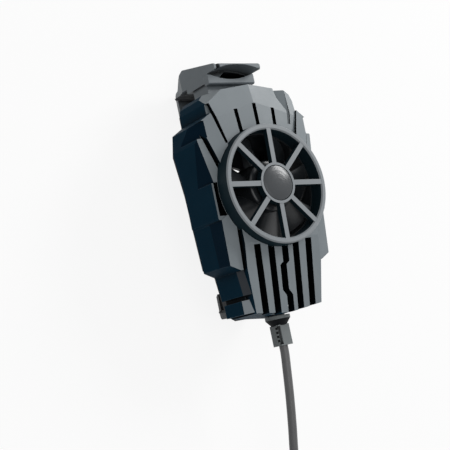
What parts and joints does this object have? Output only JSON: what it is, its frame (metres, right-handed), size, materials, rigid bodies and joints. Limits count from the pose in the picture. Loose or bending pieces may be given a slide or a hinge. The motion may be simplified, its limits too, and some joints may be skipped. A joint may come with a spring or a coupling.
{
  "type": "phone cooling fan",
  "caption": "Clip-on phone cooler: a small axial fan behind a spoked guard in a faceted shell, with a sprung sliding jaw, a fixed lower claw and a captive USB lead.",
  "frame": {"origin": "middle of the fan's footprint with the jaw closed, on the plane of the claws' backs, the lead left out", "axes": "+Z along the fan shaft, away from the phone; +Y along the jaw slide, towards the sliding jaw; +X to the right seen from the guard"},
  "size_m": [0.0643, 0.1935, 0.0374],
  "materials": {
    "shell_plastic": "fine satin grain, cool mid grey",
    "guard_plastic": "satin, a little lighter than the shell",
    "cap_plastic": "smooth",
    "rear_plastic": "spark-eroded texture",
    "fan_plastic": "smooth black",
    "steel": "plain",
    "magnet": "bonded ferrite strip",
    "bronze": "sintered",
    "lamination": "stacked sheet",
    "copper": "enamelled wire",
    "board": "solder mask",
    "components": "moulded",
    "silicone": "soft matt",
    "red_wire": "insulation",
    "black_wire": "insulation",
    "lead_jacket": "satin jacket",
    "strap": "woven strap",
    "plug_plastic": "fine grain",
    "plug_core": "plain"
  },
  "bodies": {
    "housing": {"rear_housing": "rear_plastic", "front_cover": "shell_plastic", "fan_guard": "guard_plastic", "guard_cap": "cap_plastic", "fan_frame": "fan_plastic", "bearing_sleeve": "bronze", "stator_core": "lamination", "stator_coils": "copper", "motor_board": "board", "control_board": "board", "board_parts": "components", "board_screws": "steel", "housing_screws": "steel", "fan_screws": "steel", "contact_pads": "silicone", "lower_jaw_pad": "silicone", "return_springs": "steel", "fan_wires": "red_wire", "power_wires": "black_wire", "strain_relief": "lead_jacket", "lead_cord": "lead_jacket", "lead_coil": "lead_jacket", "coil_tie": "strap", "usb_plug": "plug_plastic", "usb_plug_shell": "steel", "usb_plug_core": "plug_core"},
    "rotor": {"impeller": "fan_plastic", "rotor_cup": "steel", "rotor_magnet": "magnet", "rotor_shaft": "steel", "shaft_clip": "fan_plastic"},
    "slider": {"jaw_slider": "shell_plastic", "jaw_plate": "shell_plastic", "upper_jaw_pad": "silicone"}
  },
  "joints": [
    {"name": "fan_spin", "type": "hinge", "parent": "housing", "child": "rotor", "pos_m": [0, -0.00285, 0.0337], "axis": [0, 0, 1], "continuous": true},
    {"name": "jaw_slide", "type": "slide", "parent": "housing", "child": "slider", "axis": [0, 1, 0], "range_m": [0, 0.014], "stiffness_N_per_m": 300, "springref_m": -0.012, "deforming": ["return_springs"]}
  ]
}
